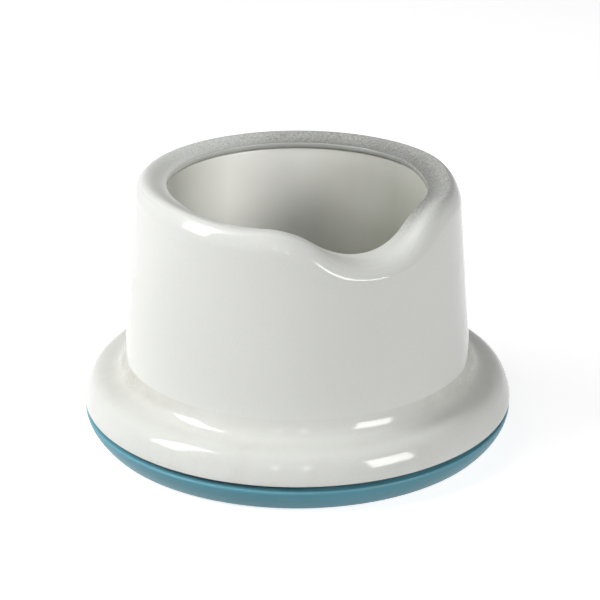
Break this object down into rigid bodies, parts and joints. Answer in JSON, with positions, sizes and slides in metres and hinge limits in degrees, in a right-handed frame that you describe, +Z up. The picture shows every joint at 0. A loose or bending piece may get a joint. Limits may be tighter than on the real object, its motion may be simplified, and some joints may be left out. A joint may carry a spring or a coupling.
{
  "type": "desk stamp carousel",
  "caption": "Round desk carousel for document stamps: a flared housing with a finger scoop in its rim turns on a low dish and holds a turning, lift-out pocket rack.",
  "frame": {"origin": "bottom centre, on the desk plane under the rubber feet, on the pivot axis", "axes": "+Z up along the pivot axis; -Y towards the scoop in the rim; +X to the right when facing the scoop"},
  "size_m": [0.13, 0.13, 0.0784],
  "materials": {
    "foot_rubber": "matte black rubber",
    "teal_plastic": "satin teal moulded plastic",
    "race_steel": "pressed and ground steel",
    "zinc_steel": "bright zinc plated steel",
    "nylon": "natural nylon",
    "ball_steel": "polished steel",
    "dark_plastic": "fine textured dark plastic",
    "white_plastic": "glossy off-white moulded plastic",
    "grey_plastic": "satin light grey plastic",
    "spring_steel": "blackened spring steel",
    "rack_plastic": "satin light grey plastic",
    "divider_plastic": "satin grey plastic"
  },
  "bodies": {
    "base": {"rubber_feet": "foot_rubber", "base_dish": "teal_plastic", "lower_race": "race_steel", "pivot_nut": "zinc_steel", "pivot_screw": "zinc_steel", "thrust_washer": "zinc_steel"},
    "cage": {"ball_cage": "nylon", "bearing_balls": "ball_steel"},
    "housing": {"upper_race": "race_steel", "deck_plate": "dark_plastic", "pivot_bush": "nylon", "deck_screws": "zinc_steel", "outer_housing": "white_plastic", "well_liner": "grey_plastic", "rack_post": "zinc_steel", "post_screw": "zinc_steel", "post_clip": "spring_steel"},
    "turntable": {"rack_turntable": "dark_plastic"},
    "rack": {"rack_tray": "rack_plastic", "tray_rim": "rack_plastic", "pocket_divider": "divider_plastic", "grip_knob": "teal_plastic"}
  },
  "joints": [
    {"name": "housing_spin", "type": "hinge", "parent": "base", "child": "housing", "pos_m": [0, 0, 0.011], "axis": [0, 0, 1], "continuous": true},
    {"name": "cage_spin", "type": "hinge", "parent": "base", "child": "cage", "pos_m": [0, 0, 0.00675], "axis": [0, 0, 1], "continuous": true},
    {"name": "rack_spin", "type": "hinge", "parent": "housing", "child": "turntable", "pos_m": [0, 0, 0.0276], "axis": [0, 0, 1], "continuous": true},
    {"name": "rack_lift", "type": "slide", "parent": "turntable", "child": "rack", "axis": [0, 0, 1], "range_m": [0, 0.075]}
  ],
  "couplings": [
    {"joint": "cage_spin", "follows": "housing_spin", "ratio": 0.5}
  ]
}
